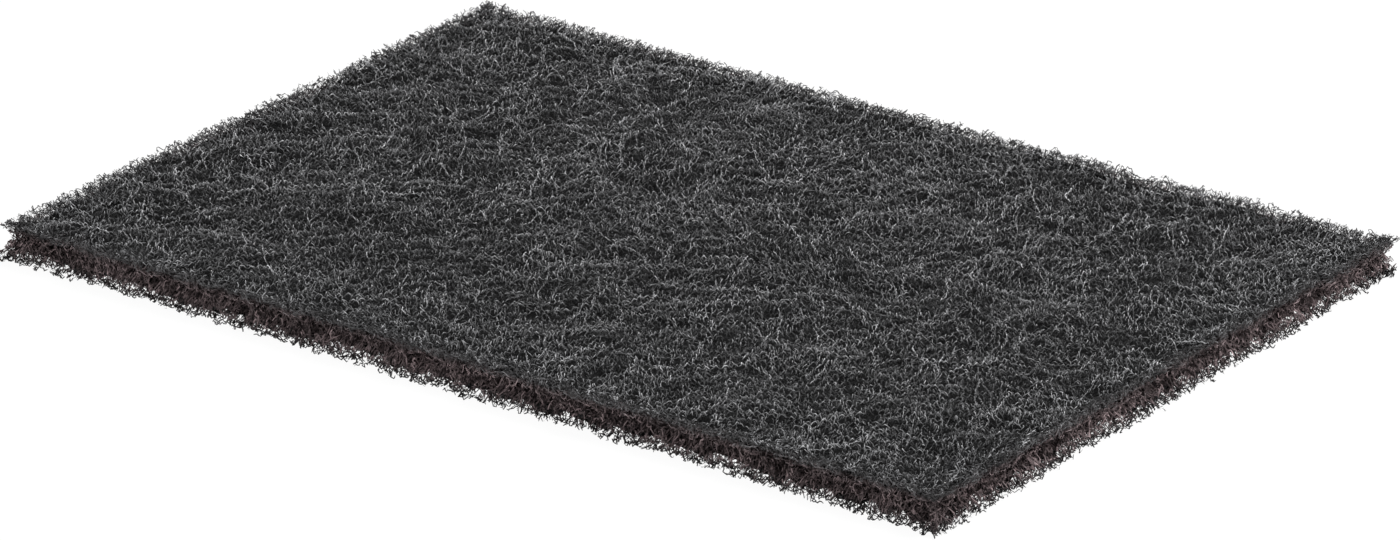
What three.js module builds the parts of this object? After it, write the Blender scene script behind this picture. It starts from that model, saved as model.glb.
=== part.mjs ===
// A nylon scouring pad: one springy sheet of crimped nylon fibres, bonded with resin and grit where
// they cross, and cut to a hand-sized rectangle. It is a single piece, and either face scours.
// Millimetres, +Z up. X runs along the long cut edges, Y along the short ones, and the origin is the
// centre of the face that the pad lies on.
import * as THREE from "three";
import { ImprovedNoise } from "three/addons/math/ImprovedNoise.js";
import { mergeVertices } from "three/addons/utils/BufferGeometryUtils.js";

// The cut size, over the tips of the tufts, and the height between the two pressed faces
const LENGTH = 228.6;
const WIDTH = 152.4;
const THICKNESS = 7.9;

// The faces: winding bundles of fibres pressed flat into lands, with open pits between them
const PIT_PITCH = 9.5; // from one pit to the next
const PIT_DEPTH = 1.2;
const PIT_RIM = 0; // noise value at the rim of a pit, where the land ends
const PIT_FLOOR = 0.4; // noise value at which a pit has its whole depth

// The cut edges: a stiff lip along each face, with the softer web between them drawn in to a waist
const WAIST_DEPTH = 2.1;
const WAIST_BELOW_TOP = 2.6; // the waist lies nearer to the upper lip
const TUFT_PITCH = 9; // from one tuft to the next along an edge
const TUFT_DEPTH = 1.5; // from the tip of a tuft to the bottom of the gap beside it
const LIP_HEIGHT = 3.2; // over which the tufts of one lip give way to those of the next
const CORNER_RADIUS = 2.2;
const EDGE_BAND = 14; // width of web, inside the cut, that follows its tufts

// The mesh that carries this shape: the size of one cell on the faces, and the rows up the edge
const CELL = 3.9;
const EDGE_ROWS = 6;

const CHARCOAL = 0x424344;

const noise = new ImprovedNoise();

// Each use of the noise reads its own plane of it. In the planes of the two faces the centre is land.
const PLANES = { bottomFace: 2.57, topFace: 33.63, endEdges: 23.43, sideEdges: 37.71 };

// How deep the face lies below its lands at a place: nothing on a land, more and more down a pit
function pitDepth(x, y, plane) {
  const openness = noise.noise(x / PIT_PITCH, y / PIT_PITCH, plane);
  return PIT_DEPTH * THREE.MathUtils.smoothstep(openness, PIT_RIM, PIT_FLOOR);
}

// How far the waist draws the cut edge in at a height: nothing at either face, all of it at the waist
function waistInset(height) {
  const waistHeight = THICKNESS - WAIST_BELOW_TOP;
  const fromBottom = THREE.MathUtils.smoothstep(height, 0, waistHeight);
  const fromTop = 1 - THREE.MathUtils.smoothstep(height, waistHeight, THICKNESS);
  return WAIST_DEPTH * fromBottom * fromTop;
}

// How far the cut edge lies inside the cut line, at a distance along the edge and a height up it
function edgeInset(along, height, plane) {
  const gap = 0.5 + noise.noise(along / TUFT_PITCH, height / LIP_HEIGHT, plane);
  return TUFT_DEPTH * THREE.MathUtils.clamp(gap, 0, 1) + waistInset(height);
}

// Draws one coordinate of a plain slab in from its cut edge. The pull is whole at the edge and fades
// to nothing across the edge band.
function drawnIn(value, half, inset) {
  const fromEdge = half - Math.abs(value);
  const pull = 1 - THREE.MathUtils.smoothstep(fromEdge, 0, EDGE_BAND);
  return value - Math.sign(value) * inset * pull;
}

// Rounds the corners: a place in a square corner moves toward the corner's centre, so that the
// square's two outer sides fall on a quarter circle.
function roundCorner(point) {
  const centreX = LENGTH / 2 - CORNER_RADIUS;
  const centreY = WIDTH / 2 - CORNER_RADIUS;
  const outX = Math.abs(point.x) - centreX;
  const outY = Math.abs(point.y) - centreY;
  if (outX <= 0 || outY <= 0) return;
  const shrink = Math.max(outX, outY) / Math.hypot(outX, outY);
  point.x = Math.sign(point.x) * (centreX + outX * shrink);
  point.y = Math.sign(point.y) * (centreY + outY * shrink);
}

// Shapes one point of the plain slab into the web. Points between the faces keep their share of the
// height between the two reliefs.
function shapePoint(point) {
  const { x, y, z } = point;
  const share = z / THICKNESS;
  roundCorner(point);
  const endInset = edgeInset(y, z, PLANES.endEdges * Math.sign(x));
  const sideInset = edgeInset(x, z, PLANES.sideEdges * Math.sign(y));
  point.x = drawnIn(point.x, LENGTH / 2, endInset);
  point.y = drawnIn(point.y, WIDTH / 2, sideInset);
  const floor = pitDepth(x, y, PLANES.bottomFace);
  const roof = THICKNESS - pitDepth(x, y, PLANES.topFace);
  point.z = THREE.MathUtils.lerp(floor, roof, share);
}

// The whole web as one closed mesh
function webGeometry() {
  const cellsAlong = Math.round(LENGTH / CELL);
  const cellsAcross = Math.round(WIDTH / CELL);
  const slab = new THREE.BoxGeometry(LENGTH, WIDTH, THICKNESS, cellsAlong, cellsAcross, EDGE_ROWS);
  slab.translate(0, 0, THICKNESS / 2);
  slab.deleteAttribute("normal");
  slab.deleteAttribute("uv");
  const web = mergeVertices(slab);
  const places = web.getAttribute("position");
  const point = new THREE.Vector3();
  for (let i = 0; i < places.count; i += 1) {
    point.fromBufferAttribute(places, i);
    shapePoint(point);
    places.setXYZ(i, point.x, point.y, point.z);
  }
  web.computeVertexNormals();
  return web;
}

const gritCoatedNylon = new THREE.MeshStandardMaterial({
  color: CHARCOAL,
  roughness: 0.85,
  metalness: 0,
  flatShading: true,
});

const scouringPad = new THREE.Group();
const web = new THREE.Mesh(webGeometry(), gritCoatedNylon);
web.name = "fibre_web";
scouringPad.add(web);

export default scouringPad;
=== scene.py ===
"""A nylon scouring pad: a springy web of crimped nylon fibres, coated with resin and grit."""
import math

import bmesh
import bpy
import numpy as np
from mathutils import Matrix, Vector, noise
from mathutils.bvhtree import BVHTree


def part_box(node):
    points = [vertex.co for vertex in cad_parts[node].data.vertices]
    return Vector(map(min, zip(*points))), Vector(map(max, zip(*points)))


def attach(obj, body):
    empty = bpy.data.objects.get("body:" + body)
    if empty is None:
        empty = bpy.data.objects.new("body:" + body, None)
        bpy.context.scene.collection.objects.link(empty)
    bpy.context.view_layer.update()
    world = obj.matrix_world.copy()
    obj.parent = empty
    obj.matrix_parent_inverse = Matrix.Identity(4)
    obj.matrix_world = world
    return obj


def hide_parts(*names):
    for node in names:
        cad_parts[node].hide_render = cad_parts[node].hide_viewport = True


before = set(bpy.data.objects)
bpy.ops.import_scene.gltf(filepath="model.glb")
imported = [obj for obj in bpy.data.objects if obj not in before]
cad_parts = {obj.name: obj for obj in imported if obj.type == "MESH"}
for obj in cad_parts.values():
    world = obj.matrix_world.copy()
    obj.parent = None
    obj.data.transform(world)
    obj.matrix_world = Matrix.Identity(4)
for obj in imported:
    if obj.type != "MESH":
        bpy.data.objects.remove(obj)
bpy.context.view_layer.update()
scene = bpy.context.scene
millimetre = 0.001

# The camera
# A long lens, a step back from the pad and a little above it. The near corner points down and to
# the right, and the pad fills the picture from side to side.
camera_bearing = math.radians(-51.84)  # from +X toward +Y
camera_height_angle = math.radians(22.50)
camera_roll = math.radians(-1.14)
camera_distance = 1.5280
camera_to_right = 0.00114
camera_to_top = -0.00069
focal_length_mm = 201.73
sensor_width_mm = 36.0

level = math.cos(camera_height_angle)
back = Vector(
    (
        level * math.cos(camera_bearing),
        level * math.sin(camera_bearing),
        math.sin(camera_height_angle),
    )
)
flat_right = Vector((0, 0, 1)).cross(back).normalized()
flat_up = back.cross(flat_right)
picture_right = math.cos(camera_roll) * flat_right + math.sin(camera_roll) * flat_up
picture_up = math.cos(camera_roll) * flat_up - math.sin(camera_roll) * flat_right
camera_place = back * camera_distance + picture_right * camera_to_right + picture_up * camera_to_top

camera_data = bpy.data.cameras.new("camera")
camera_data.lens = focal_length_mm
camera_data.sensor_width = sensor_width_mm
camera_data.clip_end = 20.0
camera = bpy.data.objects.new("camera", camera_data)
camera_turn = Matrix((picture_right, picture_up, back)).transposed().to_4x4()
camera.matrix_world = Matrix.Translation(camera_place) @ camera_turn
scene.collection.objects.link(camera)
scene.camera = camera
scene.view_settings.view_transform = "Standard"

# The floor, the light tent round it and two soft lamps
# A sheet of white card on a table, inside a white tent. The card runs clear white to the camera and
# keeps a faint shadow under the pad.
floor_half = 4.0
card_white = (0.8, 0.8, 0.8, 1.0)
card_shadow_share = 0.06
tent_strength = 0.45


def add_node(tree, kind, inputs=None, **settings):
    """Adds a shader node. An input is a number, a colour or another node's output."""
    made = tree.nodes.new("ShaderNode" + kind)
    for setting, value in settings.items():
        setattr(made, setting, value)
    for place, value in (inputs or {}).items():
        if isinstance(value, bpy.types.NodeSocket):
            tree.links.new(value, made.inputs[place])
        else:
            made.inputs[place].default_value = value
    return made


def empty_material(name):
    """A material with nodes and nothing on them yet, and its node tree."""
    material = bpy.data.materials.new(name)
    material.use_nodes = True
    material.node_tree.nodes.clear()
    return material, material.node_tree


def seen_directly(tree):
    """One where the camera, or a reflection, looks straight at the surface, and otherwise nothing."""
    path = add_node(tree, "LightPath")
    camera_or_gloss = add_node(
        tree,
        "Math",
        {0: path.outputs["Is Camera Ray"], 1: path.outputs["Is Glossy Ray"]},
        operation="MAXIMUM",
    )
    with_glass = add_node(
        tree,
        "Math",
        {0: camera_or_gloss.outputs[0], 1: path.outputs["Is Transmission Ray"]},
        operation="MAXIMUM",
    )
    return with_glass.outputs[0]


white_card, tree = empty_material("white_card")
plain_card = add_node(tree, "BsdfDiffuse", {"Color": card_white})
bright_card = add_node(tree, "Emission", {"Color": (1, 1, 1, 1), "Strength": 1.0})
lit_card = add_node(
    tree,
    "MixShader",
    {0: 1 - card_shadow_share, 1: plain_card.outputs[0], 2: bright_card.outputs[0]},
)
card_mix = add_node(
    tree,
    "MixShader",
    {0: seen_directly(tree), 1: plain_card.outputs[0], 2: lit_card.outputs[0]},
)
add_node(tree, "OutputMaterial", {"Surface": card_mix.outputs[0]})

floor_mesh = bpy.data.meshes.new("floor")
floor_corners = [(-1, -1), (1, -1), (1, 1), (-1, 1)]
floor_mesh.from_pydata([(x * floor_half, y * floor_half, 0) for x, y in floor_corners], [], [(0, 1, 2, 3)])
floor_mesh.materials.append(white_card)
floor = bpy.data.objects.new("floor", floor_mesh)
scene.collection.objects.link(floor)

world = bpy.data.worlds.new("light_tent")
world.use_nodes = True
tree = world.node_tree
tree.nodes.clear()
tent_light = add_node(tree, "Background", {"Color": (1, 1, 1, 1), "Strength": tent_strength})
tent_seen = add_node(tree, "Background", {"Color": (1, 1, 1, 1), "Strength": 1.0})
tent_mix = add_node(
    tree,
    "MixShader",
    {0: seen_directly(tree), 1: tent_light.outputs[0], 2: tent_seen.outputs[0]},
)
add_node(tree, "OutputWorld", {"Surface": tent_mix.outputs[0]})
scene.world = world


def soft_lamp(name, place, across, power):
    """A square soft box that looks at the pad."""
    lamp_data = bpy.data.lights.new(name, "AREA")
    lamp_data.shape = "SQUARE"
    lamp_data.size = across
    lamp_data.energy = power
    lamp = bpy.data.objects.new(name, lamp_data)
    lamp.location = place
    lamp.rotation_mode = "QUATERNION"
    lamp.rotation_quaternion = (-Vector(place)).to_track_quat("-Z", "Y")
    scene.collection.objects.link(lamp)


soft_lamp("main_lamp", place=(0.5, 0.55, 1.1), across=0.6, power=26.0)
soft_lamp("fill_lamp", place=(-0.6, -0.9, 0.8), across=0.9, power=7.0)

# The inside of the web
# The mass of fibres behind those that can be picked out one by one: crimped nylon, laid down by air
# and bonded with resin. It has the form of the pad, a little inside its faces and its cut edges.
web_low, web_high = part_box("fibre_web")
half_length = (web_high.x - web_low.x) / 2
half_width = (web_high.y - web_low.y) / 2
thickness = web_high.z - web_low.z
core_below_faces = 1.1 * millimetre
core_inside_cuts = 2.3 * millimetre
core_cut_band = 14 * millimetre  # over which that pull from a cut fades away
core_rough_edge = 0.9 * millimetre
core_rough_pitch = 2.6 * millimetre
core_open_lip = 0.1 * millimetre  # how much higher its lower edge lies near a cut, where light gets in
core_ragged_lip = 1.9 * millimetre
core_ragged_pitch = 2.3 * millimetre
core_open_band = 7 * millimetre
core_open_whole = 0.3  # share of that band, beside the cut, where the lower edge has its whole lift
core_open_height = 0.6  # share of the thickness over which the lift fades away
core_pit_pitch = 2.8 * millimetre
core_pit_depth = 0.5 * millimetre
core_pit_rim = -0.05  # noise value at the rim of a pit
core_pit_floor = 0.45  # noise value at which a pit has its whole depth
core_pit_plane = 50 * millimetre  # where the upper face reads the noise, and the lower as far below
core_wall_share = 0.55  # share of half the thickness, up or down from the middle, without pits
core_face_share = 0.8  # and from where the pits have their whole depth
core_cuts_per_cell = 2
core_cut_above = 1.5 * millimetre  # cells higher than this are cut finer
core_cut_beside = 3.8 * millimetre  # and so are those nearer to a cut than this
# Painted shade: the core stands for fibres deep in the web, where little light reaches. Its charcoal and
# red-brown are painted far darker than the fibres over it, and the gaps of its net are near-black. Its
# lower face, which fewer fibres cover, has less of this painted shade.
gap_painted_shade = (0.003, 0.0029, 0.003, 1.0)
core_charcoal_painted_shade = (0.014, 0.0142, 0.0146, 1.0)
core_resin_brown_painted_shade = (0.09, 0.069, 0.069, 1.0)
core_lower_charcoal_painted_shade = (0.11, 0.11, 0.113, 1.0)  # of its lower face, with less painted shade, as fewer fibres cover it
net_height = 0.3 * millimetre
net_bends_per_cell = 1.1
net_winding = 1.6  # how far a line of the net winds, in cells
net_full_share = 0.3  # share of half a line where it has its whole height


def smooth_step(value, low, high):
    share = min(max((value - low) / (high - low), 0.0), 1.0)
    return share * share * (3 - 2 * share)


def into_core(place):
    """Where a point of the pad's own outer form lies on the inside of the web."""
    ragged = core_rough_edge * noise.noise(place / core_rough_pitch)
    inset = core_inside_cuts + ragged
    x, y = place.x, place.y
    x -= math.copysign(inset, x) * (1 - smooth_step(half_length - abs(x), 0, core_cut_band))
    y -= math.copysign(inset, y) * (1 - smooth_step(half_width - abs(y), 0, core_cut_band))
    flatter = 1 - 2 * core_below_faces / thickness
    z = thickness / 2 + (place.z - thickness / 2) * flatter
    from_cut = min(half_length - abs(place.x), half_width - abs(place.y))
    near_cut = 1 - smooth_step(from_cut, core_open_whole * core_open_band, core_open_band)
    near_floor = 1 - smooth_step(place.z, 0, core_open_height * thickness)
    ragged_lip = core_ragged_lip * noise.noise(place / core_ragged_pitch)
    z += near_cut * near_floor * (core_open_lip + ragged_lip)
    side = 1 if place.z > thickness / 2 else -1
    spot = Vector((place.x, place.y, side * core_pit_plane)) / core_pit_pitch
    from_middle = abs(place.z - thickness / 2) / (thickness / 2)
    faces_only = smooth_step(from_middle, core_wall_share, core_face_share)
    openness = smooth_step(noise.noise(spot), core_pit_rim, core_pit_floor)
    z -= side * core_pit_depth * faces_only * openness
    return Vector((x, y, z))


def height_tint(tree, stops):
    """The colour of the resin, with any painted shade, by height above the lower face. Each stop is a
    height and a colour.
    """
    place = add_node(tree, "TexCoord")
    split = add_node(tree, "SeparateXYZ", {0: place.outputs["Object"]})
    share = add_node(tree, "Math", {0: split.outputs["Z"], 1: thickness}, operation="DIVIDE")
    ramp = add_node(tree, "ValToRGB", {0: share.outputs[0]})
    elements = ramp.color_ramp.elements
    while len(elements) < len(stops):
        elements.new(0.5)
    for element, (height, colour) in zip(elements, stops):
        element.position = height
        element.color = colour
    return ramp.outputs[0]


def fibre_net(tree, place, cell, offset, half_line):
    """One layer of the web: a net of winding lines as thin as fibres, one on a line and nothing in
    the gaps. Places, and the sizes of a cell and of half a line, are in mm."""
    moved = add_node(tree, "VectorMath", {0: place, 1: (offset, 0.7 * offset, 0.4 * offset)})
    bends = add_node(
        tree,
        "TexNoise",
        {"Vector": moved.outputs[0], "Scale": net_bends_per_cell / cell, "Detail": 1.0},
    )
    bend = add_node(
        tree,
        "VectorMath",
        {0: bends.outputs["Color"], 1: (0.5, 0.5, 0.5)},
        operation="SUBTRACT",
    )
    winding = (net_winding * cell,) * 3
    wound = add_node(
        tree,
        "VectorMath",
        {0: bend.outputs[0], 1: winding, 2: moved.outputs[0]},
        operation="MULTIPLY_ADD",
    )
    net = add_node(
        tree,
        "TexVoronoi",
        {"Vector": wound.outputs[0], "Scale": 1 / cell},
        feature="DISTANCE_TO_EDGE",
    )
    line = add_node(
        tree,
        "MapRange",
        {
            "Value": net.outputs["Distance"],
            1: net_full_share * half_line / cell,
            2: half_line / cell,
            3: 1.0,
            4: 0.0,
        },
        interpolation_type="SMOOTHSTEP",
    )
    return line.outputs[0]


web_inside, tree = empty_material("web_inside")
place = add_node(tree, "TexCoord")
in_mm = add_node(tree, "VectorMath", {0: place.outputs["Object"], "Scale": 1000.0}, operation="SCALE")
core_layers = [
    # cell, offset and half a line in mm, and how high the layer lies beside the upper one
    (1.4, 0.0, 0.14, 1.0),
    (1.0, 31.0, 0.12, 0.5),
]
web_height = None
for cell, offset, half_line, layer_height in core_layers:
    line = fibre_net(tree, in_mm.outputs[0], cell, offset, half_line)
    raised = add_node(tree, "Math", {0: line, 1: layer_height}, operation="MULTIPLY").outputs[0]
    if web_height is None:
        web_height = raised
    else:
        web_height = add_node(tree, "Math", {0: web_height, 1: raised}, operation="MAXIMUM").outputs[0]
core_stops = [
    # share of the thickness, from the lower face up, and the colour of the resin there with its painted
    # shade
    (0.22, core_lower_charcoal_painted_shade),
    (0.28, core_resin_brown_painted_shade),
    (0.6, core_resin_brown_painted_shade),
    (0.72, core_charcoal_painted_shade),
]
resin = height_tint(tree, core_stops)
web_colour = add_node(tree, "Mix", {"Factor": web_height, 6: gap_painted_shade, 7: resin}, data_type="RGBA")
web_bump = add_node(tree, "Bump", {"Strength": 1.0, "Distance": net_height, "Height": web_height})
web_shader = add_node(
    tree,
    "BsdfPrincipled",
    {
        "Base Color": web_colour.outputs[2],
        "Roughness": 0.9,
        "Specular IOR Level": 0.05,
        "Normal": web_bump.outputs[0],
    },
)
add_node(tree, "OutputMaterial", {"Surface": web_shader.outputs[0]})

core_form = bmesh.new()
core_form.from_mesh(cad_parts["fibre_web"].data)
bmesh.ops.remove_doubles(core_form, verts=core_form.verts, dist=0.001 * millimetre)
# Only the cells that can be seen are cut finer
seen_edges = []
for edge in core_form.edges:
    middle = (edge.verts[0].co + edge.verts[1].co) / 2
    from_cut = min(half_length - abs(middle.x), half_width - abs(middle.y))
    if max(v.co.z for v in edge.verts) > core_cut_above or from_cut < core_cut_beside:
        seen_edges.append(edge)
bmesh.ops.subdivide_edges(core_form, edges=seen_edges, cuts=core_cuts_per_cell, use_grid_fill=True)
for vertex in core_form.verts:
    vertex.co = into_core(vertex.co)
core_mesh = bpy.data.meshes.new("web_core")
core_form.to_mesh(core_mesh)
core_tree = BVHTree.FromBMesh(core_form)
core_form.free()
core_mesh.shade_smooth()
core_mesh.materials.append(web_inside)
web_core = bpy.data.objects.new("web_core", core_mesh)
scene.collection.objects.link(web_core)
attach(web_core, "root")
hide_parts("fibre_web")

# The fibres of the upper face
# Crimped nylon fibres under a fifth of a millimetre thick, coated with charcoal resin and grit. They
# lie over each other in a springy layer and are bonded where they cross.
fibre_radius = 0.072 * millimetre
fibre_tip_share = 0.6  # how thick a fibre's cut end is, beside its middle
fibre_lean = 0.9  # most that a flat fibre leans to one side, in radians
any_way = (0.31, 0.17, 0.93)  # a direction that no fibre runs along
crimp_spread = (0.6, 1.4)  # the shortest and the longest crimp, beside the usual one
turn_spread = (0.6, 1.3)  # the least and the most that fibres swing to the sides
lift_spread = (0.6, 1.5)  # the shortest and the longest wave up and down, beside a crimp
wander_each_step = 0.15  # how much a fibre's heading drifts from step to step, in radians
face_crimp = 1.5 * millimetre
face_turn = 0.9  # how far a fibre swings to each side of its heading, in radians
face_steps = 30
face_slack = (-1.2, 0.5)  # how far in or out of the pad's own form a fibre turns back at a cut, in mm
face_above_cad = 0.2 * millimetre  # the most that a fibre stands over the pad's own form
charcoal = (0.325, 0.326, 0.335, 1.0)
face_tones = (0.8, 1.25)  # the darkest and the lightest fibre, beside the tint of the resin
sunk_painted_shade = 0.03  # how light a fibre is painted that lies on the core, beside one at the top of the web: painted shade for the shadow deep in the web
top_of_web = 1.2 * millimetre  # how far over the core that is
painted_shade_power = 2.4  # above one, the painted shade deepens faster just under the topmost fibres
coat_tones = (0.25, 1.75)  # the darkest and the lightest place on the coat of a fibre
grit_scale = 2600.0  # how fine the grit on a fibre is
patch_scale = 180.0  # how fine the paler and darker patches of the web are
grit_height = 0.03 * millimetre
dark_rim = 2 * millimetre  # how far in from a cut the fibres are darker
map_columns = 8  # columns of strips on a piece's flat map
map_strip_share = 0.8  # how much of its row a strip fills
map_end_share = 0.02  # how much of its length each end of a round fibre takes


def crimped_paths(draws, starts, headings, steps, step, crimp, turn, lift):
    """Points along many fibres at once, a step apart. A fibre keeps its heading, and swings to both
    sides of it by up to turn and up and down by up to lift as it goes, once in each crimp."""
    fibres = len(starts)
    walked = np.arange(steps + 1) * step
    wave = crimp * draws.uniform(*crimp_spread, (fibres, 1))
    phase = draws.uniform(0, 2 * np.pi, (fibres, 1))
    swing = turn * draws.uniform(*turn_spread, (fibres, 1)) * np.sin(2 * np.pi * walked / wave + phase)
    wander = np.cumsum(draws.normal(0, wander_each_step, (fibres, steps + 1)), axis=1)
    heading = headings[:, None] + swing + wander
    paths = np.zeros((fibres, steps + 1, 3))
    paths[:, 1:, 0] = np.cumsum(np.cos(heading[:, 1:]), axis=1) * step
    paths[:, 1:, 1] = np.cumsum(np.sin(heading[:, 1:]), axis=1) * step
    lift_wave = crimp * draws.uniform(*lift_spread, (fibres, 1))
    lift_phase = draws.uniform(0, 2 * np.pi, (fibres, 1))
    paths[:, :, 2] = lift * np.sin(2 * np.pi * walked / lift_wave + lift_phase)
    return paths + starts[:, None, :]


def unit(vectors):
    return vectors / np.maximum(np.linalg.norm(vectors, axis=-1, keepdims=True), 1e-12)


def fibre_rings(paths, thickness_share, sides, leans):
    """Rings of points round each fibre, turning as little as they can from one to the next. A ring of
    two points makes a flat fibre, which leans to one side by an angle of its own."""
    along = unit(np.gradient(paths, axis=1))
    points = paths.shape[1]
    side = unit(np.cross(along[:, 0], any_way))
    level = np.empty_like(paths)
    for point in range(points):
        tangent = along[:, point]
        side = unit(side - np.sum(side * tangent, axis=1, keepdims=True) * tangent)
        level[:, point] = side
    upward = np.cross(along, level)
    radius = np.full(points, fibre_radius * thickness_share)
    radius[[0, -1]] *= fibre_tip_share
    rings = []
    for corner in range(sides):
        angle = leans[:, None, None] + 2 * np.pi * corner / sides
        out = np.cos(angle) * level + np.sin(angle) * upward
        rings.append(paths + out * radius[:, None])
    return np.stack(rings, axis=2)


def fibre_map(bundles):
    """Places on a flat map for the corners of a piece's faces, in the order that fibre_piece makes
    them. Each wall of a fibre is a strip of its own, laid in rows and columns, with its ends beside."""
    strips = sum(paths.shape[0] * (1 if sides == 2 else sides) for paths, _, _, sides in bundles)
    rows = math.ceil(strips / map_columns)
    corners = []
    first = 0
    for paths, _, _, sides in bundles:
        fibres, points = paths.shape[:2]
        walls_round = 1 if sides == 2 else sides
        strip = first + np.arange(fibres * walls_round).reshape(fibres, 1, walls_round)
        low_u = (strip // rows) / map_columns
        low_v = (strip % rows + (1 - map_strip_share) / 2) / rows
        high_v = low_v + map_strip_share / rows
        step = np.arange(points - 1)[None, :, None]
        walls_u = (1 - 2 * map_end_share) / (points - 1) / map_columns
        start_u = low_u + map_end_share / map_columns + step * walls_u
        low_v, high_v = (np.broadcast_to(v, start_u.shape) for v in (low_v, high_v))
        us = np.stack([start_u, start_u, start_u + walls_u, start_u + walls_u], axis=-1)
        vs = np.stack([low_v, high_v, high_v, low_v], axis=-1)
        corners.append(np.stack([us, vs], axis=-1).reshape(-1, 2))
        for end_u in (0.0, 1 - map_end_share) if sides > 2 else ():
            cap_u = low_u[:, 0, :1] + (end_u + map_end_share * np.array((0.1, 0.9, 0.5))) / map_columns
            cap_v = np.stack([low_v[:, 0, 0], low_v[:, 0, 0], high_v[:, 0, 0]], axis=-1)
            corners.append(np.stack([cap_u, cap_v], axis=-1).reshape(-1, 2))
        first += fibres * walls_round
    return np.concatenate(corners)


def fibre_piece(name, bundles, material, draws):
    """One piece of many fibres. A bundle is an array of paths, their tone and painted shade at each
    point, how thick they are beside the usual, and their sides: three for a round fibre and two for a
    flat one."""
    places, faces, point_lights = [], [], []
    first = 0
    for paths, lights, thickness_share, sides in bundles:
        fibres, points = paths.shape[:2]
        leans = draws.uniform(-fibre_lean, fibre_lean, fibres)
        places.append(fibre_rings(paths, thickness_share, sides, leans).reshape(-1, 3))
        walls_round = 1 if sides == 2 else sides
        fibre, step, corner = np.meshgrid(
            np.arange(fibres), np.arange(points - 1), np.arange(walls_round), indexing="ij"
        )
        here = first + (fibre * points + step) * sides
        beside = (corner + 1) % sides
        ahead = here + sides
        walls = np.stack([here + corner, here + beside, ahead + beside, ahead + corner], axis=-1)
        faces += walls.reshape(-1, 4).tolist()
        if sides > 2:
            start_ring = first + np.arange(fibres)[:, None] * points * sides
            end_ring = start_ring + (points - 1) * sides
            faces += (start_ring + np.arange(sides)[::-1]).tolist()
            faces += (end_ring + np.arange(sides)).tolist()
        point_lights.append(np.repeat(lights, sides, axis=1).ravel())
        first += fibres * points * sides
    mesh = bpy.data.meshes.new(name)
    mesh.from_pydata(np.concatenate(places).tolist(), [], faces)
    light = mesh.attributes.new("light", "FLOAT", "POINT")
    light.data.foreach_set("value", np.concatenate(point_lights).astype(np.float32))
    flat_map = mesh.uv_layers.new(name="OFBake", do_init=False)
    flat_map.uv.foreach_set("vector", fibre_map(bundles).astype(np.float32).ravel())
    mesh.shade_smooth()
    mesh.materials.append(material)
    piece = bpy.data.objects.new(name, mesh)
    scene.collection.objects.link(piece)
    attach(piece, "root")
    return piece


def inside_cuts(tree, depth):
    """Nothing at the cut edges and one from a depth inside them, by place over the face."""
    place = add_node(tree, "TexCoord")
    split = add_node(tree, "SeparateXYZ", {0: place.outputs["Object"]})
    shares = []
    for axis, half in (("X", half_length), ("Y", half_width)):
        across = add_node(tree, "Math", {0: split.outputs[axis]}, operation="ABSOLUTE")
        share = add_node(
            tree,
            "MapRange",
            {"Value": across.outputs[0], 1: half - depth, 2: half, 3: 1.0, 4: 0.0},
        )
        shares.append(share.outputs[0])
    return add_node(tree, "Math", {0: shares[0], 1: shares[1]}, operation="MINIMUM").outputs[0]


def spread(tree, texture, low, high):
    """A noise texture spread over a range. Nearly all of what it gives lies from 0.3 to 0.7."""
    made = add_node(tree, "MapRange", {"Value": texture.outputs[0], 1: 0.3, 2: 0.7, 3: low, 4: high})
    return made.outputs[0]


def times(tree, value, other):
    return add_node(tree, "Math", {0: value, 1: other}, operation="MULTIPLY").outputs[0]


def fibre_material(name, stops, light_at_cuts):
    """Nylon coated with resin and grit: matt, rough to the touch, each fibre as light as its own tone
    and its painted shade make it.
    Light at cuts is how light it is at the very edge of the pad, beside one further in."""
    material, tree = empty_material(name)
    # The resin's colour by height, with the painted shade of the cut edges where the stops carry it
    resin = height_tint(tree, stops)
    further_in = inside_cuts(tree, dark_rim)
    rim_light = add_node(tree, "MapRange", {"Value": further_in, 3: light_at_cuts, 4: 1.0})
    own_light = add_node(tree, "Attribute", attribute_name="light")
    # The tone of each fibre together with its painted shade, carried on its points
    place = add_node(tree, "TexCoord")
    grit = add_node(
        tree,
        "TexNoise",
        {"Vector": place.outputs["Object"], "Scale": grit_scale, "Detail": 2.0, "Roughness": 0.6},
    )
    patches = add_node(
        tree,
        "TexNoise",
        {"Vector": place.outputs["Object"], "Scale": patch_scale, "Detail": 3.0, "Roughness": 0.6},
    )
    light = times(tree, own_light.outputs["Fac"], spread(tree, grit, 0.7, 1.3))
    light = times(tree, light, spread(tree, patches, 0.8, 1.2))
    light = times(tree, light, rim_light.outputs[0])
    colour = add_node(tree, "VectorMath", {0: resin, "Scale": light}, operation="SCALE")
    bump = add_node(tree, "Bump", {"Strength": 0.6, "Distance": grit_height, "Height": grit.outputs[0]})
    shader = add_node(
        tree,
        "BsdfPrincipled",
        {
            "Base Color": colour.outputs[0],
            "Roughness": spread(tree, grit, 0.5, 0.85),
            "Specular IOR Level": 0.2,
            "Normal": bump.outputs[0],
        },
    )
    add_node(tree, "OutputMaterial", {"Surface": shader.outputs[0]})
    return material


cad_form = bmesh.new()
cad_form.from_mesh(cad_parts["fibre_web"].data)
cad_tree = BVHTree.FromBMesh(cad_form)
cad_form.free()
halves = (half_length, half_width)
reach_step = 0.5 * millimetre
deepest_cut = 3.6 * millimetre  # the bottom of the deepest gap in a cut edge
rim_steps = 3  # steps up or down the cut that a pit in a face may reach
smoothed_steps = 5
corner_margin = 2.5 * millimetre  # how far from a corner an edge is still met squarely


def running_mean(table, direction):
    """Each value of a table evened out with those on both sides of it, along rows or columns."""
    spare = smoothed_steps // 2
    margins = [(0, 0), (0, 0)]
    margins[direction] = (spare, spare)
    wider = np.pad(table, margins, "edge")
    windows = np.lib.stride_tricks.sliding_window_view(wider, smoothed_steps, axis=direction)
    return windows.mean(axis=-1)


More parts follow.
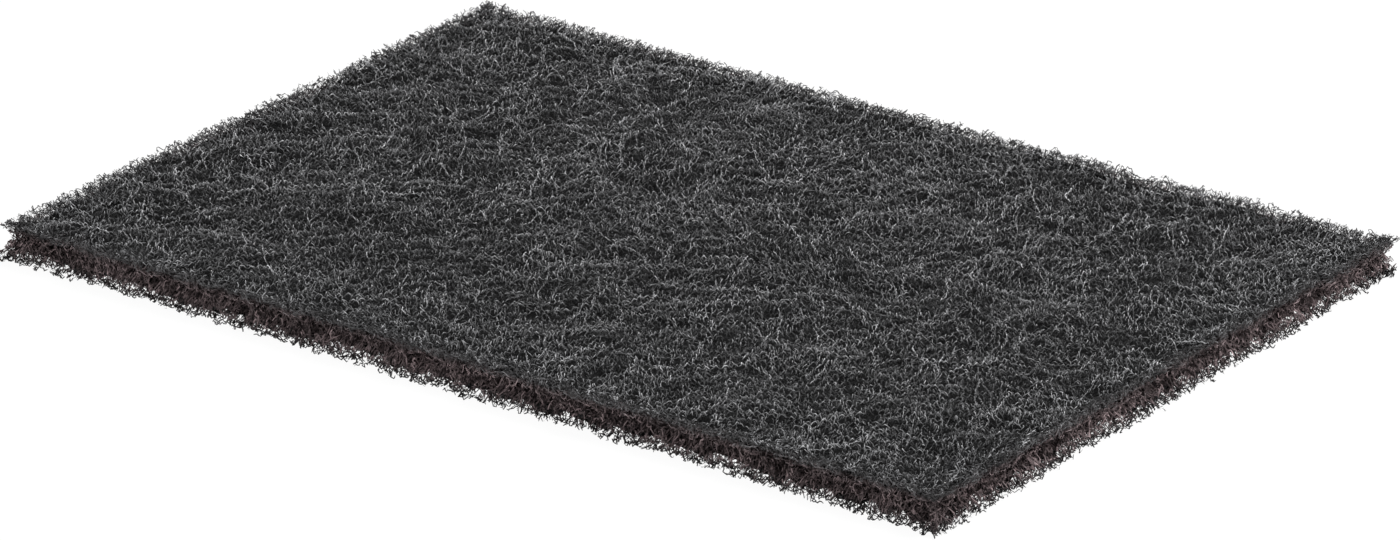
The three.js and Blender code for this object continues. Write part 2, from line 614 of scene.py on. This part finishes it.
def cut_reaches(axis, side):
    """How far out one side of the pad's own form reaches, at steps along the cut and steps up it.
    A pit in the rim of a face doesn't count, and the steps run smoothly into each other."""
    other_half = halves[1 - axis] - corner_margin
    rows = []
    for along in np.arange(-other_half, other_half, reach_step):
        row = []
        for height in np.arange(reach_step / 2, thickness, reach_step):
            start, inward = Vector((0, 0, height)), Vector()
            start[axis] = side * 2 * halves[axis]
            start[1 - axis] = along
            inward[axis] = -side
            met = cad_tree.ray_cast(start, inward)[0]
            row.append(0 if met is None else abs(met[axis]))
        rows.append(row)
    table = np.maximum(rows, halves[axis] - deepest_cut)
    table[:, -rim_steps:] = table[:, -rim_steps:].max(axis=1, keepdims=True)
    table[:, :rim_steps] = table[:, :rim_steps].max(axis=1, keepdims=True)
    for direction in (0, 1):
        table = running_mean(table, direction)
    return table


reaches = {(axis, side): cut_reaches(axis, side) for axis in (0, 1) for side in (-1, 1)}


def turned_back_at_cuts(paths, slack):
    """A fibre that would run out past the pad's own form by more than its slack turns back there."""
    for (axis, side), table in reaches.items():
        other_half = halves[1 - axis] - corner_margin
        row = (paths[:, :, 1 - axis] + other_half) / reach_step
        row = np.clip(row.astype(int), 0, table.shape[0] - 1)
        column = np.clip((paths[:, :, 2] / reach_step).astype(int), 0, table.shape[1] - 1)
        reach = table[row, column] + slack[:, None]
        out = side * paths[:, :, axis]
        paths[:, :, axis] = side * np.where(out > reach, 2 * reach - out, out)
    return paths


def core_heights(xs, ys, from_above):
    """Height of the core's upper or lower surface at each place."""
    reach_x = half_length - core_inside_cuts - 2 * core_rough_edge
    reach_y = half_width - core_inside_cuts - 2 * core_rough_edge
    side = 1 if from_above else -1
    heights = np.empty(xs.shape)
    for index in np.ndindex(xs.shape):
        x = min(max(xs[index], -reach_x), reach_x)
        y = min(max(ys[index], -reach_y), reach_y)
        start = Vector((x, y, thickness / 2 + side * thickness))
        heights[index] = core_tree.ray_cast(start, Vector((0, 0, -side)))[0].z
    return heights


air_draws = 12  # fibres in the air for each one that settles
face_cover_cell = 0.6 * millimetre


def turned_back(values, low, high):
    """Values that pass a limit come back from it by as much."""
    values = np.where(values < low, 2 * low - values, values)
    values = np.where(values > high, 2 * high - values, values)
    return np.clip(values, low, high)


def empty_cover(across, up, cell):
    """A table of how many fibres lie on each cell of a sheet of web, with none on it yet."""
    return np.zeros((int(across / cell) + 1, int(up / cell) + 1))


def cover_cells(across, up, limits, cell):
    """The cells of a cover that points fall on. Limits are the lowest and the highest place in each
    of its two directions."""
    columns = (turned_back(across, *limits[0]) - limits[0][0]) / cell
    rows = (turned_back(up, *limits[1]) - limits[1][0]) / cell
    return np.stack((columns.astype(int), rows.astype(int)), axis=-1)


def settled(candidates, cells, cover):
    """Fibres that come down one by one. Of a few in the air at a time, the one stays that falls where
    the web is thinnest so far."""
    groups = candidates.reshape(-1, air_draws, *candidates.shape[1:])
    cell_groups = cells.reshape(-1, air_draws, *cells.shape[1:])
    kept = []
    for group, group_cells in zip(groups, cell_groups):
        columns, rows = group_cells[:, :, 0], group_cells[:, :, 1]
        thinnest = cover[columns, rows].mean(axis=1).argmin()
        np.add.at(cover, (columns[thinnest], rows[thinnest]), 1)
        kept.append(group[thinnest])
    return np.array(kept)


def face_fibres(draws, fibres, step, lift, heights, cover, from_above):
    """Paths of fibres that lie on the core's upper or lower surface, all over it and out to the cut
    edges, and how light they are painted: the deeper, the darker, as painted shade, times a tone of
    their own. Heights are the least and the most height of a fibre over the core."""
    falling = fibres * air_draws
    starts = np.zeros((falling, 3))
    starts[:, :2] = draws.uniform(-1, 1, (falling, 2)) * halves
    headings = draws.uniform(0, 2 * np.pi, falling)
    candidates = crimped_paths(draws, starts, headings, face_steps, step, face_crimp, face_turn, lift)
    middles = candidates.mean(axis=1, keepdims=True)
    candidates[:, :, :2] += (starts[:, None, :] - middles)[:, :, :2]
    limits = [(-half, half) for half in halves]
    cells = cover_cells(candidates[:, :, 0], candidates[:, :, 1], limits, face_cover_cell)
    paths = settled(candidates, cells, cover)
    side = 1 if from_above else -1
    surface = core_heights(paths[:, :, 0], paths[:, :, 1], from_above)
    # A fibre is stiff, so it bridges the small pits
    bridging = side * np.maximum(side * surface, side * running_mean(surface, 1))
    over_core = draws.uniform(*heights, (fibres, 1))
    paths[:, :, 2] = bridging + side * (over_core + paths[:, :, 2])
    paths[:, :, 2] = np.clip(paths[:, :, 2], fibre_radius, thickness + face_above_cad)
    # Painted shade: the lower a fibre lies in the web, the darker it is painted
    share_up = np.clip(side * (paths[:, :, 2] - surface) / top_of_web, 0, 1)
    lights = sunk_painted_shade + (1 - sunk_painted_shade) * share_up**painted_shade_power
    lights *= draws.uniform(*face_tones, (fibres, 1)) * draws.uniform(*coat_tones, share_up.shape)
    slack = draws.uniform(*face_slack, fibres) * millimetre
    return turned_back_at_cuts(paths, slack), lights


face_nylon = fibre_material("face_nylon", [(0.0, charcoal), (1.0, charcoal)], light_at_cuts=0.4)
draws = np.random.default_rng(11)
upper_cover = empty_cover(2 * half_length, 2 * half_width, face_cover_cell)
upper_step = 0.53 * millimetre
upper_lift = 0.38 * millimetre
upper_layers = [
    # flat fibres, round fibres, and the least and the most height over the core in mm
    ("upper_deep_fibres", 2700, 0, 0.1, 0.6),
    ("upper_middle_fibres", 2700, 0, 0.2, 0.8),
    ("upper_loose_fibres", 1400, 500, 0.4, 0.95),
]
for name, flat_fibres, round_fibres, lowest, highest in upper_layers:
    bundles = []
    heights = (lowest * millimetre, highest * millimetre)
    for fibres, sides in ((flat_fibres, 2), (round_fibres, 3)):
        if fibres > 0:
            paths, lights = face_fibres(draws, fibres, upper_step, upper_lift, heights, upper_cover, True)
            bundles.append((paths, lights, 1.0, sides))
    fibre_piece(name, bundles, face_nylon, draws)

# The grains of grit on the upper face
# Crumbs of mineral grit, about a quarter of a millimetre across. They are stuck to the topmost fibres
# with the resin, and a few of them catch the light.
upper_grains = 170
grain_radius = 0.16 * millimetre
grain_below_top = 0.5 * millimetre  # how far under the top of the pad a grain may sit
grain_speckle_scale = 9000.0
grain_grey = (0.62, 0.61, 0.6)
grain_points = np.array([(1, 0, 0), (-1, 0, 0), (0, 1, 0), (0, -1, 0), (0, 0, 1), (0, 0, -1)])
grain_faces = np.array(
    [(0, 2, 4), (2, 1, 4), (1, 3, 4), (3, 0, 4), (2, 0, 5), (1, 2, 5), (3, 1, 5), (0, 3, 5)]
)
bare_grit, tree = empty_material("bare_grit")
place = add_node(tree, "TexCoord")
speckle = add_node(
    tree,
    "TexNoise",
    {"Vector": place.outputs["Object"], "Scale": grain_speckle_scale, "Detail": 2.0},
)
grain_light = spread(tree, speckle, 0.5, 1.2)
grain_colour = add_node(tree, "VectorMath", {0: grain_grey, "Scale": grain_light}, operation="SCALE")
grain_shader = add_node(tree, "BsdfPrincipled", {"Base Color": grain_colour.outputs[0], "Roughness": 0.45})
add_node(tree, "OutputMaterial", {"Surface": grain_shader.outputs[0]})

# The round fibres of the loose layer were laid last
topmost = paths.reshape(-1, 3)
topmost = topmost[topmost[:, 2] > thickness - grain_below_top]
stuck_at = topmost[draws.choice(len(topmost), upper_grains, replace=False)]
places, faces = [], []
for number, place_on_fibre in enumerate(stuck_at):
    turn = np.linalg.qr(draws.normal(0, 1, (3, 3)))[0]
    grain_shape = grain_points * draws.uniform(0.5, 1.0, (1, 3)) * grain_radius
    places += (grain_shape @ turn + place_on_fibre).tolist()
    faces += (grain_faces + number * len(grain_points)).tolist()
grit_mesh = bpy.data.meshes.new("upper_grit")
grit_mesh.from_pydata(places, [], faces)
grit_mesh.materials.append(bare_grit)
upper_grit = bpy.data.objects.new("upper_grit", grit_mesh)
scene.collection.objects.link(upper_grit)
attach(upper_grit, "root")

# The fibres of the lower face
# The same crimped nylon fibres on the face that the pad lies on, coated and bonded as above. The
# pad's own weight presses them flat.
lower_fibres = 1250
lower_step = 0.68 * millimetre
lower_lift = 0.35 * millimetre
lower_heights = (0.5 * millimetre, 1.1 * millimetre)
lower_cover = empty_cover(2 * half_length, 2 * half_width, face_cover_cell)
paths, lights = face_fibres(draws, lower_fibres, lower_step, lower_lift, lower_heights, lower_cover, False)
fibre_piece("lower_fibres", [(paths, lights, 1.0, 2)], face_nylon, draws)

# The fibres of the cut edges
# The web as it shows where the pad was cut: short crimped ends of fibre, clotted with resin, that stand
# apart enough to see through near the lower face. Between the faces the resin is red-brown.
edge_tones = (0.5, 1.6)  # the darkest and the lightest fibre
inner_painted_shade = 0.4  # how light a fibre is painted at the back of the edge band, beside one at the cut: painted shade deeper in the web
unshaded_share = 0.2  # share of the band, beside the cut, where fibres have no painted shade
edge_step = 0.5 * millimetre
edge_steps = 11
edge_crimp = 1.6 * millimetre
edge_turn = 1.4
edge_lift = 0.42 * millimetre
edge_slope = 0.3  # how steeply fibres climb or fall along their way
edge_band = 3.6 * millimetre  # how far in from a cut its fibres lie
edge_slack = (-1.0, 1.6)
edge_layers = [
    # lowest and highest place on the cut as shares of its height, fibres for each mm, how thick
    # they are beside those of the faces, and their sides
    (0.0, 0.3, 2.6, 1.75, 3),
    (0.0, 0.42, 5.5, 1.6, 2),
    (0.38, 0.78, 3.5, 1.3, 2),
    (0.72, 1.0, 0.6, 1.3, 3),
    (0.7, 1.0, 2.0, 1.15, 2),
]
edge_cover_cell = 0.6 * millimetre
resin_brown = (0.2, 0.154, 0.157, 1.0)
# Painted shade: the fibres of the cut edges are the same charcoal nylon as those of the faces, painted far
# darker at the lower face and near the upper one, where the sides of the pad lie in shade. The red-brown
# between the faces is the resin's colour.
edge_charcoal_painted_shade = (0.026, 0.0235, 0.0243, 1.0)
rim_charcoal_painted_shade = (0.066, 0.064, 0.066, 1.0)
edge_stops = [
    (0.12, edge_charcoal_painted_shade),
    (0.34, resin_brown),
    (0.7, resin_brown),
    (0.9, rim_charcoal_painted_shade),
]
edge_nylon = fibre_material("edge_nylon", edge_stops, light_at_cuts=0.7)


def edge_piece(name, axis, side, draws):
    """The fibres of one cut edge, on one side of the pad along an axis."""
    bundles = []
    other_half = halves[1 - axis]
    cover = empty_cover(2 * other_half, thickness, edge_cover_cell)
    for lowest, highest, fibres_per_mm, thickness_share, sides in edge_layers:
        fibres = int(fibres_per_mm * 2 * other_half / millimetre)
        falling = fibres * air_draws
        starts = np.zeros((falling, 3))
        starts[:, 1 - axis] = draws.uniform(-other_half, other_half, falling)
        starts[:, axis] = side * (halves[axis] - draws.uniform(0, edge_band, falling))
        starts[:, 2] = draws.uniform(lowest, highest, falling) * thickness
        headings = draws.uniform(0, 2 * np.pi, falling)
        candidates = crimped_paths(
            draws, starts, headings, edge_steps, edge_step, edge_crimp, edge_turn, edge_lift
        )
        walked = np.arange(edge_steps + 1) * edge_step
        candidates[:, :, 2] += draws.normal(0, edge_slope, (falling, 1)) * walked
        candidates[:, :, 2] = turned_back(candidates[:, :, 2], fibre_radius, thickness - fibre_radius)
        limits = [(-other_half, other_half), (0, thickness)]
        cells = cover_cells(candidates[:, :, 1 - axis], candidates[:, :, 2], limits, edge_cover_cell)
        paths = settled(candidates, cells, cover)
        out = side * paths[:, :, axis]
        paths[:, :, axis] = side * np.maximum(out, 2 * (halves[axis] - edge_band) - out)
        slack = draws.uniform(*edge_slack, fibres) * millimetre
        paths = turned_back_at_cuts(paths, slack)
        behind_cut = halves[axis] - side * paths[:, :, axis]
        # Painted shade: fibres further in from the cut are painted darker
        lights = np.interp(behind_cut, (unshaded_share * edge_band, edge_band), (1, inner_painted_shade))
        lights *= draws.uniform(*edge_tones, (fibres, 1)) * draws.uniform(*coat_tones, lights.shape)
        bundles.append((paths, lights, thickness_share, sides))
    fibre_piece(name, bundles, edge_nylon, draws)


edge_piece("front_edge_fibres", 1, -1, draws)
edge_piece("back_edge_fibres", 1, 1, draws)
edge_piece("left_edge_fibres", 0, -1, draws)
edge_piece("right_edge_fibres", 0, 1, draws)
